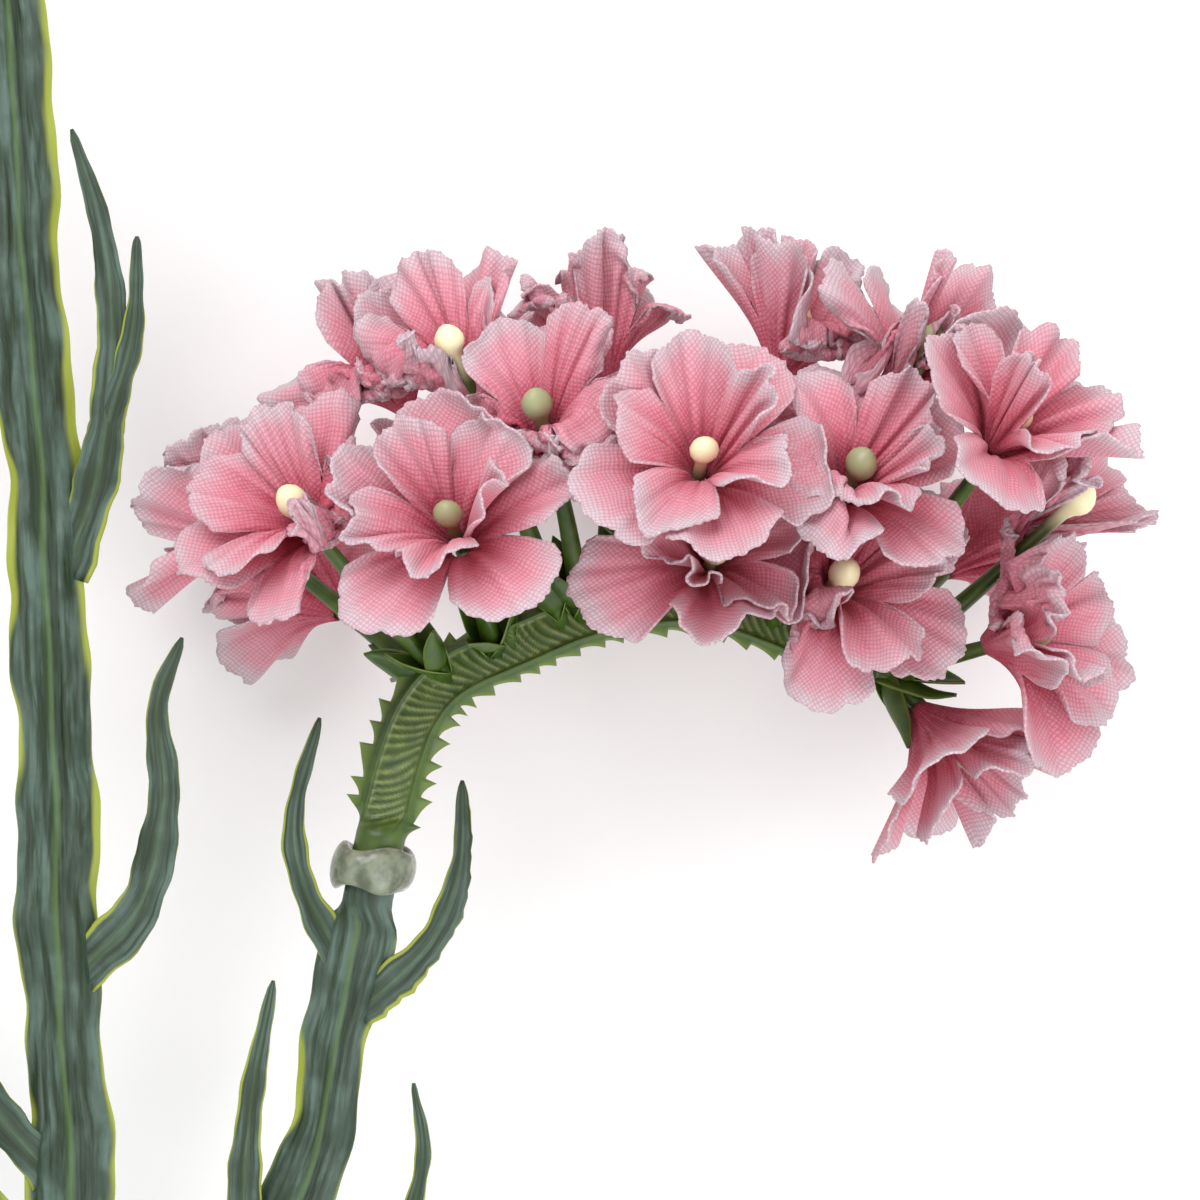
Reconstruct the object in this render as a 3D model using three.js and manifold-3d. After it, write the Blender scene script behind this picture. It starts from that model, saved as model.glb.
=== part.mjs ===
// A spray of artificial statice, laid flat: a wired, winged plastic stem with two plug-in side branches.
// Each of its three arching flower combs is pushed into a stem tip, held by a collar of clear hot-melt glue,
// and carries die-cut fabric florets, one threaded on each bead-tipped peg.
// Millimetres. +Y runs along the stem towards the flowers, +Z points up from the surface the spray lies on.
// Lengths below are given from a design point beside the right-hand head; the last lines centre the group.

import * as THREE from "three";
import { mergeVertices } from "three/addons/utils/BufferGeometryUtils.js";
import Module from "manifold-3d";

const wasm = await Module();
wasm.setup();

// ---------------------------------------------------------------- driving dimensions

const AXIS_HEIGHT = 22; // height of the combs and upper stems above the surface
const GAP = 0.3; // clearance between any two pieces
const CUT_OVERRUN = 1; // how far a cutter runs past the face it opens

const MAIN_STEM = { halfWidth: 3.9, core: 1.9, wing: 0.9, waves: 15, wave: 0.3, steps: 45 };
const BRANCH_STEM = { halfWidth: 3.0, core: 1.7, wing: 0.8, waves: 5, wave: 0.25, steps: 18 };
const COMB_SPINE = { halfWidth: 2.6, core: 1.2, wing: 0.7, waves: 0, wave: 0, steps: 12 };

const WIRE = { radius: 0.8, length: 170 };
const NECK = { radius: 2.0, length: 2.4, taper: 4.8 }; // round where a stem meets its comb; wings full by taper
const PLUG = { radius: 0.95, length: 5 }; // comb's plug in a neck, or fork's plug in a branch
const FORK = { length: 19 }; // stub that a branch is pushed on to
const COLLAR = { height: 3.4, wall: 0.9, segments: 14 };

const PEG = { radius: 0.6, bead: 1.1, sides: 6 };
const FLORET = {
  radius: 13, // flat radius of a corolla, before its neighbours crowd it
  throat: 5, // how far below the bead the fabric is pinched
  rise: 8.5, // height of the rim above the throat
  wall: 1.0, // thickness of the stack of fabric, ruffles included
  lobes: 5,
  lobeDepth: 0.12,
  segments: 15,
};

// ---------------------------------------------------------------- routes of the stems

// The main stem: [x, y, share of the full axis height]. It slopes up from its cut end to the heads.
const MAIN_ROUTE = [
  [-36.4, -184, 0.1],
  [-37.5, -165, 0.227],
  [-38.8, -140, 0.427],
  [-40.1, -115, 0.623],
  [-41.2, -90, 0.8],
  [-41.9, -68, 0.918],
  [-42.4, -45, 0.982],
  [-43.4, -22.5, 1],
  [-44, 0, 1],
  [-45.6, 22.5, 1],
  [-47.2, 45, 1],
  [-48.7, 58, 1],
  [-49.8, 69, 1],
];
// Side branches: [x, y]. They keep level with the main stem beside them.
const RIGHT_ROUTE = [
  [-41.2, -92],
  [-35.4, -75],
  [-28.8, -59],
  [-23.1, -45],
  [-20.9, -34],
  [-18.95, -25.6],
  [-18.1, -21.6],
];
const LEFT_ROUTE = [
  [-42.1, -64],
  [-50.4, -49.5],
  [-59.4, -34],
  [-67.9, -17],
  [-73.9, 0],
  [-76, 9],
];

// Each prong leaves a stem at its first point: [[x, y, rise above the main stem's axis], half width at the base].
const MAIN_PRONGS = [
  [[[-42.8, 2, 0], [-40, 10.4, 1], [-38.9, 20, 1.6], [-39.7, 29.2, 1.4], [-42.2, 37.6, 1]], 1.35],
  [[[-39.8, 12.4, 1], [-37.3, 21, 2], [-36.9, 29, 2.2]], 0.9],
  [[[-41.9, -30, 0], [-36.8, -24.5, 0.8], [-34.8, -16, 1.4], [-35.3, -8.5, 1.2], [-33.4, -3, 0.6]], 1.6],
  [[[-43.9, -46, 0], [-49, -39.5, 1], [-51.1, -31, 1], [-50, -20, 1]], 1.5],
  [[[-40, -124, 0], [-34.2, -116, 0.6], [-32.4, -106, 1], [-33.4, -97, 1]], 1.5],
  [[[-39.6, -108, 0], [-45, -100, 0.6], [-46.8, -89, 1], [-45.6, -80, 0.8]], 1.5],
  [[[-38.8, -148, 0], [-43.8, -139, 0.4], [-45.2, -129, 0.8], [-44, -120, 0.8]], 1.4],
  [[[-48.6, 50, 0], [-53.4, 58, 1], [-55, 67, 1.4], [-54.2, 75, 1.2]], 1.2],
];
const RIGHT_PRONGS = [
  [[[-20, -30, 0], [-23.6, -23, 0.4], [-24.4, -17, 0.8], [-22.4, -9.4, 0.6]], 1.1],
  [[[-19.4, -33, 0], [-13.6, -27.4, 0.6], [-11.2, -21.4, 1], [-11, -14.4, 0.8]], 1.4],
  [[[-25.6, -60, 0], [-28.2, -51, 1], [-28, -41, 1.2], [-26.1, -30.4, 0.8]], 1.5],
  [[[-23.6, -55, 0], [-16.8, -52, 0.8], [-14.2, -45, 1], [-14.9, -38.6, 0.8]], 1.0],
];
const LEFT_PRONGS = [
  [[[-69.4, -9, 0], [-76, -2.4, 0.8], [-79.6, 6, 1.2], [-79.8, 14, 0.8]], 1.3],
  [[[-60, -31, 0], [-56.8, -22, 0.8], [-57.6, -11, 1.2], [-59.8, -4, 0.8]], 1.3],
];
const PRONG = { thickness: 0.55, tip: 0.18, sides: 6, steps: 7 };

// ---------------------------------------------------------------- flower heads

// A comb's spine in its own frame: the plug's shoulder at the origin, then up and over towards +X.
const COMB_ROUTE = [
  [0, 0], [0.9, 4.2], [2.1, 8.8], [3.6, 12.4], [6.3, 15.3], [11.7, 17.8],
  [18.1, 20.2], [26.1, 21.0], [34.1, 18.4], [40.5, 15.6],
];

// A floret: [how far along the spine, lean towards the tip, tilt up from the surface, spine to bead].
const FULL_SET = [
  [0.29, -7, -14, 23], [0.31, -4, 34, 22.5], [0.39, 5, 52, 19], [0.42, -2, 8, 26],
  [0.53, 6, 36, 21.5], [0.61, 1, -8, 23], [0.69, 4, 56, 21.5], [0.71, 6, 68, 12],
  [0.73, 5, 2, 24], [0.87, 12, 60, 12], [0.82, 7, 42, 19.5], [0.82, 8, 14, 27],
  [1, 25, 12, 21.5], [1, 52, 26, 14.5], [0.99, 112, 6, 9.5], [0.5, 0, 20, 26], [0.92, 14, 30, 27],
  [0.3, -16, -38, 18], [0.44, -4, -44, 19], [0.6, 2, -44, 20], [0.78, 8, -44, 20], [0.95, 24, -36, 18],
];
const SMALL_SET = [
  [0.26, -24, 6, 14], [0.36, -4, -40, 16], [0.38, 0, 38, 17], [0.46, 4, 0, 21], [0.6, 4, -46, 17.5],
  [0.6, 6, 46, 17.5], [0.68, 4, 2, 22], [0.8, 8, 44, 16.5], [0.82, 10, -44, 17], [0.9, 18, 0, 20],
  [1.0, 62, 0, 14],
];
// side is +1 for a comb that arches to the right and -1 for one that arches to the left.
const HEADS = [
  { name: "right", side: 1, florets: FULL_SET },
  { name: "top", side: -1, florets: SMALL_SET },
  { name: "left", side: -1, florets: SMALL_SET },
];

// ---------------------------------------------------------------- colours

const paint = (color, roughness, metalness = 0) => new THREE.MeshStandardMaterial({ color, roughness, metalness });
const STEM_GREEN = paint(0x4f6f55, 0.6);
const COMB_GREEN = paint(0x5b7a2c, 0.45);
const PINK_FABRIC = paint(0xe5a3b3, 0.85);
const CLEAR_GLUE = paint(0xc9cdb8, 0.2);
const STEEL = paint(0x8a8d90, 0.4, 1);

// ---------------------------------------------------------------- solids

function solidOf(geometry) {
  const bare = geometry.clone();
  bare.deleteAttribute("normal");
  bare.deleteAttribute("uv");
  const merged = mergeVertices(bare, 1e-4);
  const corners = Array.from(merged.index.array);
  const triangles = [];
  for (let i = 0; i < corners.length; i += 3) {
    const [a, b, c] = corners.slice(i, i + 3);
    if (a !== b && b !== c && c !== a) triangles.push(a, b, c);
  }
  const build = (triVerts) =>
    new wasm.Manifold(
      new wasm.Mesh({
        numProp: 3,
        vertProperties: merged.attributes.position.array,
        triVerts: new Uint32Array(triVerts),
      }),
    );
  const made = build(triangles);
  return made.volume() > 0 ? made : build(triangles.reverse());
}

function geometryOf(solid) {
  const mesh = solid.getMesh();
  const geometry = new THREE.BufferGeometry();
  geometry.setAttribute("position", new THREE.BufferAttribute(mesh.vertProperties, mesh.numProp));
  geometry.setIndex(new THREE.BufferAttribute(mesh.triVerts, 1));
  geometry.computeVertexNormals();
  return geometry;
}

const union = (solids) => solids.reduce((all, one) => all.add(one));

// The largest body of a solid, without any crumb that a cut has left beside it.
function mainBody(solid) {
  return solid.decompose().reduce((best, one) => (one.volume() > best.volume() ? one : best));
}

// A closed skin over rings of equally many points.
function skinOf(rings) {
  const count = rings[0].length;
  const centreOf = (ring) => ring.reduce((sum, p) => sum.add(p), new THREE.Vector3()).divideScalar(count);
  const points = [...rings.flat(), centreOf(rings[0]), centreOf(rings.at(-1))];
  const first = rings.length * count;
  const last = (rings.length - 1) * count;
  const index = [];
  for (let k = 0; k < count; k++) {
    const next = (k + 1) % count;
    index.push(first, next, k, first + 1, last + k, last + next);
    for (let i = 0; i < rings.length - 1; i++) {
      const a = i * count;
      const b = a + count;
      index.push(a + k, a + next, b + next, a + k, b + next, b + k);
    }
  }
  const geometry = new THREE.BufferGeometry().setFromPoints(points);
  geometry.setIndex(index);
  return geometry;
}

const UP = new THREE.Vector3(0, 0, 1);

// The point, tangent, side and front directions a share u of the way along a curve.
function frameAt(curve, u) {
  const point = curve.getPointAt(u);
  const tangent = curve.getTangentAt(u);
  const side = new THREE.Vector3().crossVectors(tangent, UP).normalize();
  const front = new THREE.Vector3().crossVectors(side, tangent);
  return { point, tangent, side, front };
}

function curveThrough(points) {
  const vectors = points.map(([x, y, z = 0]) => new THREE.Vector3(x, y, z));
  return new THREE.CatmullRomCurve3(vectors, false, "catmullrom", 0.5);
}

// A rod of round section between two points.
function rodBetween(from, to, radius, sides) {
  const rod = new THREE.CylinderGeometry(radius, radius, from.distanceTo(to), sides);
  const turn = new THREE.Quaternion().setFromUnitVectors(
    new THREE.Vector3(0, 1, 0),
    to.clone().sub(from).normalize(),
  );
  rod.applyQuaternion(turn);
  const middle = from.clone().lerp(to, 0.5);
  rod.translate(middle.x, middle.y, middle.z);
  return solidOf(rod);
}

// Half of a winged section, from the right wing's edge over the front rib: [across, forwards].
function wingedSection({ core, wing }, halfWidth, round) {
  const winged = [
    [halfWidth, wing / 2], [core * 0.95, wing * 0.75], [core * 0.2, core * 1.15],
    [-core * 0.2, core * 1.15], [-core * 0.95, wing * 0.75], [-halfWidth, wing / 2],
    [-halfWidth, -wing / 2], [-core * 0.95, -wing * 0.75], [-core * 0.4, -core * 0.95],
    [core * 0.4, -core * 0.95], [core * 0.95, -wing * 0.75], [halfWidth, -wing / 2],
  ];
  return winged.map(([x, z], k) => {
    const angle = ((k + 0.5) / winged.length) * 2 * Math.PI;
    const circle = [NECK.radius * Math.cos(angle), NECK.radius * Math.sin(angle)];
    return [THREE.MathUtils.lerp(x, circle[0], round), THREE.MathUtils.lerp(z, circle[1], round)];
  });
}

// Distances along a stem at which its section is drawn: even steps, and closer where an end is round.
function stationsAlong(span, steps, roundFoot, roundTip) {
  const close = [0, NECK.length, NECK.taper];
  const foot = roundFoot ? close : [0];
  const tip = (roundTip ? close : [0]).map((distance) => span - distance).reverse();
  const even = Array.from({ length: steps }, (_, i) => (span * i) / steps);
  const clear = even.filter((distance) => distance > foot.at(-1) + 0.5 && distance < tip[0] - 0.5);
  return [...foot, ...clear, ...tip];
}

// A winged stem along part of a curve. Its wings run out into a round neck at each end that is asked for.
function wingedStem(curve, form, { from = 0, to = 1, roundFoot = false, roundTip = false, tipScale = 1 } = {}) {
  const length = curve.getLength();
  const span = (to - from) * length;
  const rings = stationsAlong(span, form.steps, roundFoot, roundTip).map((distance) => {
    const share = distance / span;
    const toFoot = roundFoot ? distance : span;
    const toTip = roundTip ? span - distance : span;
    const round = 1 - THREE.MathUtils.smoothstep(Math.min(toFoot, toTip), NECK.length, NECK.taper);
    const wave = form.wave * Math.sin(2 * Math.PI * form.waves * share);
    const width = (form.halfWidth + wave) * THREE.MathUtils.lerp(1, tipScale, share);
    const { point, side, front } = frameAt(curve, Math.min(from + distance / length, 1));
    return wingedSection(form, width, round).map(([x, z]) =>
      point.clone().addScaledVector(side, x).addScaledVector(front, z),
    );
  });
  return solidOf(skinOf(rings));
}

// The same form with a margin all round it.
const roomier = (form, grow) => ({
  ...form,
  halfWidth: form.halfWidth + grow,
  core: form.core + grow,
  wing: form.wing + 2 * grow,
});

// A curved, flattened horn that tapers to a point.
function prongOf([points, halfWidth], grow = 0) {
  const curve = curveThrough(points.map(besideMain));
  const rings = [];
  for (let i = 0; i <= PRONG.steps; i++) {
    const u = i / PRONG.steps;
    const { point, side, front } = frameAt(curve, u);
    const taper = Math.sqrt(1 - u) * (1 - 0.25 * u);
    const across = PRONG.tip + (halfWidth - PRONG.tip) * taper + grow;
    const deep = PRONG.tip + (PRONG.thickness - PRONG.tip) * taper + grow;
    const ring = [];
    for (let k = 0; k < PRONG.sides; k++) {
      const angle = (k / PRONG.sides) * 2 * Math.PI;
      ring.push(
        point
          .clone()
          .addScaledVector(side, across * Math.cos(angle))
          .addScaledVector(front, deep * Math.sin(angle)),
      );
    }
    rings.push(ring);
  }
  return solidOf(skinOf(rings));
}

// A plug that stands out of a curve's point u, along the curve, and the socket that fits over it.
function plugAt(curve, u, grow = 0) {
  const { point, tangent } = frameAt(curve, u);
  const foot = point.clone().addScaledVector(tangent, -CUT_OVERRUN);
  const tip = point.clone().addScaledVector(tangent, PLUG.length + grow);
  return rodBetween(foot, tip, PLUG.radius + grow, 12);
}

// The socket in a stem's tip, which opens at the curve's end.
function tipSocket(curve) {
  const { point, tangent } = frameAt(curve, 1);
  const foot = point.clone().addScaledVector(tangent, -PLUG.length - 2 * GAP);
  const mouth = point.clone().addScaledVector(tangent, CUT_OVERRUN);
  return rodBetween(foot, mouth, PLUG.radius + GAP, 12);
}

// ---------------------------------------------------------------- stems, wire and collars

const mainCurve = curveThrough(MAIN_ROUTE.map(([x, y, share]) => [x, y, (share - 1) * AXIS_HEIGHT]));
const mainPoints = mainCurve.getSpacedPoints(300);

// A route or prong point that stands a given rise above the main stem's axis beside it.
function besideMain([x, y, rise = 0]) {
  const beside = mainPoints.reduce((best, p) => (Math.abs(p.y - y) < Math.abs(best.y - y) ? p : best));
  return [x, y, beside.z + rise];
}

const rightCurve = curveThrough(RIGHT_ROUTE.map(besideMain));
const leftCurve = curveThrough(LEFT_ROUTE.map(besideMain));
const STEM_CURVES = { right: rightCurve, top: mainCurve, left: leftCurve };

// The stub that a branch is pushed on to, with its plug, moulded as one with the main stem.
function forkOf(curve) {
  const end = FORK.length / curve.getLength();
  const stub = wingedStem(curve, { ...BRANCH_STEM, waves: 0, steps: 5 }, { to: end, tipScale: 1 });
  return stub.add(plugAt(curve, end));
}

function branchOf(curve, prongs) {
  const from = (FORK.length + GAP) / curve.getLength();
  const body = wingedStem(curve, BRANCH_STEM, { from, roundTip: true, tipScale: 0.9 });
  const socket = plugAt(curve, FORK.length / curve.getLength(), GAP);
  return union([body, ...prongs.map((prong) => prongOf(prong))]).subtract(socket).subtract(tipSocket(curve));
}

// The wire lies on the stem's own route, from just outside the cut end.
function wireAlong(curve, radius, extra) {
  const end = (WIRE.length + extra) / curve.getLength();
  const steps = 24;
  const rings = [];
  for (let i = 0; i <= steps; i++) {
    const { point, tangent, side, front } = frameAt(curve, (end * i) / steps);
    if (i === 0) point.addScaledVector(tangent, -1.5 - extra);
    const ring = [];
    for (let k = 0; k < 8; k++) {
      const angle = (k / 8) * 2 * Math.PI;
      ring.push(
        point
          .clone()
          .addScaledVector(side, radius * Math.cos(angle))
          .addScaledVector(front, radius * Math.sin(angle)),
      );
    }
    rings.push(ring);
  }
  return solidOf(skinOf(rings));
}

const mainStem = union([
  wingedStem(mainCurve, MAIN_STEM, { roundTip: true, tipScale: 0.72 }),
  forkOf(rightCurve),
  forkOf(leftCurve),
  ...MAIN_PRONGS.map((prong) => prongOf(prong)),
])
  .subtract(tipSocket(mainCurve))
  .subtract(wireAlong(mainCurve, WIRE.radius + GAP, CUT_OVERRUN));

// The room that the stems need, with a clearance all round.
const stemRoom = union([
  wingedStem(mainCurve, roomier(MAIN_STEM, GAP), { roundTip: true }),
  wingedStem(rightCurve, roomier(BRANCH_STEM, GAP), { roundTip: true }),
  wingedStem(leftCurve, roomier(BRANCH_STEM, GAP), { roundTip: true }),
  ...[...MAIN_PRONGS, ...RIGHT_PRONGS, ...LEFT_PRONGS].map((prong) => prongOf(prong, GAP)),
]);

// A bead of glue over the joint between a stem and its comb: a ring that bulges outwards.
function collarAround(curve) {
  const inner = NECK.radius + GAP;
  const profile = new THREE.Path();
  profile.moveTo(inner, -COLLAR.height / 2);
  profile.lineTo(inner, COLLAR.height / 2);
  profile.quadraticCurveTo(inner + 2 * COLLAR.wall, 0, inner, -COLLAR.height / 2);
  const ring = new THREE.LatheGeometry(profile.getPoints(5), COLLAR.segments);
  const { point, tangent } = frameAt(curve, 1);
  ring.applyQuaternion(new THREE.Quaternion().setFromUnitVectors(new THREE.Vector3(0, 1, 0), tangent));
  const centre = point.addScaledVector(tangent, GAP / 2);
  ring.translate(centre.x, centre.y, centre.z);
  return solidOf(ring);
}

// ---------------------------------------------------------------- heads

// The spine of a head's comb, which carries straight on from the stem it plugs into.
function spineOf({ side, name }) {
  const { point, tangent } = frameAt(STEM_CURVES[name], 1);
  const [x, y] = COMB_ROUTE[1];
  const start = point.clone().addScaledVector(tangent, GAP);
  const spin = Math.atan2(tangent.y, tangent.x) - Math.atan2(y, x * side);
  return curveThrough(
    COMB_ROUTE.map(([along, up]) =>
      new THREE.Vector3(along * side, up, 0).applyAxisAngle(UP, spin).add(start).toArray(),
    ),
  );
}

// Where each peg of a head starts, where its bead is, and which way it points.
function pegsOf(head) {
  const spine = spineOf(head);
  const pegs = head.florets.map(([station, lean, tilt, reach]) => {
    const { point, tangent, side } = frameAt(spine, station);
    const normal = side.clone().multiplyScalar(-head.side);
    const leaning = THREE.MathUtils.degToRad(lean);
    const tilting = THREE.MathUtils.degToRad(tilt);
    const inPlane = normal
      .multiplyScalar(Math.cos(leaning))
      .addScaledVector(tangent, Math.sin(leaning));
    const axis = inPlane.multiplyScalar(Math.cos(tilting)).addScaledVector(UP, Math.sin(tilting)).normalize();
    const bead = point.clone().addScaledVector(axis, reach);
    const throat = bead.clone().addScaledVector(axis, -FLORET.throat);
    return { foot: point, axis, bead, throat };
  });
  return { spine, pegs };
}

// A peg with the bead moulded on its end.
function pegOf({ foot, bead, axis }, grow) {
  const reach = foot.distanceTo(bead);
  const rod = PEG.radius + grow;
  const ball = PEG.bead + grow;
  const profile = [
    [0, 0], [rod, 0], [rod, reach - ball], [ball, reach - 0.3 * ball], [0.8 * ball, reach + 0.6 * ball],
    [0, reach + ball],
  ].map(([r, h]) => new THREE.Vector2(r, h));
  const peg = new THREE.LatheGeometry(profile, PEG.sides);
  peg.applyQuaternion(new THREE.Quaternion().setFromUnitVectors(new THREE.Vector3(0, 1, 0), axis));
  peg.translate(foot.x, foot.y, foot.z);
  return solidOf(peg);
}

// The comb, or the room it needs when grow is more than 0.
function combOf({ spine, pegs }, grow = 0) {
  const body = wingedStem(spine, roomier(COMB_SPINE, grow), { roundFoot: true, tipScale: 0.75 });
  const start = frameAt(spine, 0);
  const plug = rodBetween(
    start.point.clone().addScaledVector(start.tangent, -PLUG.length),
    start.point.clone().addScaledVector(start.tangent, CUT_OVERRUN),
    PLUG.radius,
    12,
  );
  return union([body, plug, ...pegs.map((peg) => pegOf(peg, grow))]);
}

// An uncrowded corolla: a lobed funnel that flares from its throat to its rim.
function openCorolla({ throat, axis }) {
  const { radius, rise, wall, lobes, lobeDepth, segments } = FLORET;
  const profile = [
    [0, -wall], [0.45 * radius, 0.42 * rise], [radius, rise - wall],
    [radius, rise], [0.42 * radius, 0.42 * rise + 1.2 * wall], [0, wall / 2],
  ].map(([r, h]) => new THREE.Vector2(r, h));
  const funnel = new THREE.LatheGeometry(profile, segments);
  const places = funnel.attributes.position;
  for (let i = 0; i < places.count; i++) {
    const x = places.getX(i);
    const z = places.getZ(i);
    const out = Math.hypot(x, z) / radius;
    const grow = 1 + lobeDepth * Math.cos(lobes * Math.atan2(z, x)) * out;
    places.setX(i, x * grow);
    places.setZ(i, z * grow);
  }
  funnel.applyQuaternion(new THREE.Quaternion().setFromUnitVectors(new THREE.Vector3(0, 1, 0), axis));
  funnel.translate(throat.x, throat.y, throat.z);
  return solidOf(funnel);
}

// The middle of the space that a corolla fills, which its share of the head is measured from.
const heartOf = ({ throat, axis }) => throat.clone().addScaledVector(axis, FLORET.rise * 0.75);

// Crowded corollas: each keeps to its own side of the plane half-way to every neighbour, and above the surface.
function corollasOf(head, room) {
  const { pegs } = head;
  return pegs.map((peg) => {
    let corolla = openCorolla(peg);
    const heart = heartOf(peg);
    for (const other of pegs) {
      if (other === peg) continue;
      const apart = heart.clone().sub(heartOf(other));
      const distance = apart.length();
      if (distance > 2.4 * FLORET.radius) continue;
      const normal = apart.divideScalar(distance);
      const edge = normal.dot(heart) - distance / 2 + GAP / 2;
      corolla = corolla.trimByPlane(normal.toArray(), edge);
    }
    corolla = corolla.trimByPlane([0, 0, 1], -AXIS_HEIGHT);
    return mainBody(corolla.subtract(room).subtract(stemRoom));
  });
}

// ---------------------------------------------------------------- the group

const spray = new THREE.Group();

function addPiece(name, solid, material) {
  const mesh = new THREE.Mesh(geometryOf(solid), material);
  mesh.name = name;
  spray.add(mesh);
}

addPiece("main_stem", mainStem, STEM_GREEN);
addPiece("stem_wire", wireAlong(mainCurve, WIRE.radius, 0), STEEL);
addPiece("right_branch", branchOf(rightCurve, RIGHT_PRONGS), STEM_GREEN);
addPiece("left_branch", branchOf(leftCurve, LEFT_PRONGS), STEM_GREEN);

for (const head of HEADS) {
  const parts = pegsOf(head);
  addPiece(`${head.name}_glue_collar`, collarAround(STEM_CURVES[head.name]), CLEAR_GLUE);
  addPiece(`${head.name}_comb`, combOf(parts), COMB_GREEN);
  const room = combOf(parts, GAP);
  corollasOf(parts, room).forEach((corolla, i) => {
    const number = String(i + 1).padStart(2, "0");
    addPiece(`${head.name}_floret_${number}`, corolla, PINK_FABRIC);
  });
}

// The origin is the middle of the spray's footprint, on the surface it lies on.
const middle = new THREE.Box3().setFromObject(spray).getCenter(new THREE.Vector3());
spray.position.set(-middle.x, -middle.y, AXIS_HEIGHT);

export default spray;
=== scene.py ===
"""Looks for a lying spray of artificial statice: stems, combs, glue and fabric florets.

Shapes are worked out in the part's design millimetres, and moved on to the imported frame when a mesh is
made.
"""

import math

import bpy
import numpy as np
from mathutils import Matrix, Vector


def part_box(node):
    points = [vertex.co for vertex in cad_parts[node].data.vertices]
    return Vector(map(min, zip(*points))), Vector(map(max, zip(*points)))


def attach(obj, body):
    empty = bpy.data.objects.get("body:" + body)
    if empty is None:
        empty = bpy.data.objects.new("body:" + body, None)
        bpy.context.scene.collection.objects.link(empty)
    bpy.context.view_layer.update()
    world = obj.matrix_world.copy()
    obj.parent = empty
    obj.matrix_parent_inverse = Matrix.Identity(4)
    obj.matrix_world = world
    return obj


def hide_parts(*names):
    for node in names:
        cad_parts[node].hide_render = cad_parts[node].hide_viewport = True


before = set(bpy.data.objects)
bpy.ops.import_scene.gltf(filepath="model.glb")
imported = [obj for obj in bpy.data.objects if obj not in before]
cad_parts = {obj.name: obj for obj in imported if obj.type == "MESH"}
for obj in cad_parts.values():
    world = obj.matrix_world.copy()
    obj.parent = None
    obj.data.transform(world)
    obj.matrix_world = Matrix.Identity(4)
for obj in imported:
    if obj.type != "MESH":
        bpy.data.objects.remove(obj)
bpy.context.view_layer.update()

# ---------------------------------------------------------------- sizes shared with the CAD model, in mm

AXIS_HEIGHT = 22.0
GAP = 0.3
NECK_RADIUS, NECK_LENGTH, NECK_TAPER = 2.0, 2.4, 4.8
FORK_LENGTH = 19.0
COLLAR_HEIGHT, COLLAR_WALL = 3.4, 0.9
PEG_RADIUS, BEAD_RADIUS = 0.6, 1.1
FLORET_RADIUS, FLORET_THROAT = 13.0, 5.0

MAIN_FORM = {"half": 3.9, "core": 1.9, "wing": 0.7, "wave": 0.34}
BRANCH_FORM = {"half": 3.0, "core": 1.7, "wing": 0.6, "wave": 0.3}
COMB_FORM = {"half": 2.5, "core": 1.2, "wing": 0.6, "wave": 0.0}

MAIN_ROUTE = [
    (-36.4, -184, 0.1), (-37.5, -165, 0.227), (-38.8, -140, 0.427), (-40.1, -115, 0.623),
    (-41.2, -90, 0.8), (-41.9, -68, 0.918), (-42.4, -45, 0.982), (-43.4, -22.5, 1), (-44, 0, 1),
    (-45.6, 22.5, 1), (-47.2, 45, 1), (-48.7, 58, 1), (-49.8, 69, 1),
]
RIGHT_ROUTE = [
    (-41.2, -92), (-35.4, -75), (-28.8, -59), (-23.1, -45), (-20.9, -34), (-18.95, -25.6), (-18.1, -21.6),
]
LEFT_ROUTE = [(-42.1, -64), (-50.4, -49.5), (-59.4, -34), (-67.9, -17), (-73.9, 0), (-76, 9)]

# Prongs: ([x, y, rise above the main stem beside it] ..., half width at the base).
MAIN_PRONGS = [
    ([(-42.8, 2, 0), (-40, 10.4, 1), (-38.9, 20, 1.6), (-39.7, 29.2, 1.4), (-42.2, 37.6, 1)], 1.9),
    ([(-39.8, 12.4, 1), (-37.3, 21, 2), (-36.9, 29, 2.2)], 1.2),
    ([(-41.9, -30, 0), (-36.8, -24.5, 0.8), (-34.8, -16, 1.4), (-35.3, -8.5, 1.2), (-33.4, -3, 0.6)], 2.0),
    ([(-43.9, -46, 0), (-49, -39.5, 1), (-51.1, -31, 1), (-50, -20, 1)], 1.7),
    ([(-40, -124, 0), (-34.2, -116, 0.6), (-32.4, -106, 1), (-33.4, -97, 1)], 1.7),
    ([(-39.6, -108, 0), (-45, -100, 0.6), (-46.8, -89, 1), (-45.6, -80, 0.8)], 1.7),
    ([(-38.8, -148, 0), (-43.8, -139, 0.4), (-45.2, -129, 0.8), (-44, -120, 0.8)], 1.6),
    ([(-48.6, 50, 0), (-53.4, 58, 1), (-55, 67, 1.4), (-54.2, 75, 1.2)], 1.3),
]
RIGHT_PRONGS = [
    ([(-20, -30, 0), (-23.6, -23, 0.4), (-24.4, -17, 0.8), (-22.4, -9.4, 0.6)], 1.3),
    ([(-19.4, -33, 0), (-13.6, -27.4, 0.6), (-11.2, -21.4, 1), (-11, -14.4, 0.8)], 1.5),
    ([(-25.6, -60, 0), (-28.2, -51, 1), (-28, -41, 1.2), (-26.1, -30.4, 0.8)], 1.8),
    ([(-23.6, -55, 0), (-16.8, -52, 0.8), (-14.2, -45, 1), (-14.9, -38.6, 0.8)], 1.1),
]
LEFT_PRONGS = [
    ([(-69.4, -9, 0), (-76, -2.4, 0.8), (-79.6, 6, 1.2), (-79.8, 14, 0.8)], 1.5),
    ([(-60, -31, 0), (-56.8, -22, 0.8), (-57.6, -11, 1.2), (-59.8, -4, 0.8)], 1.5),
]

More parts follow.
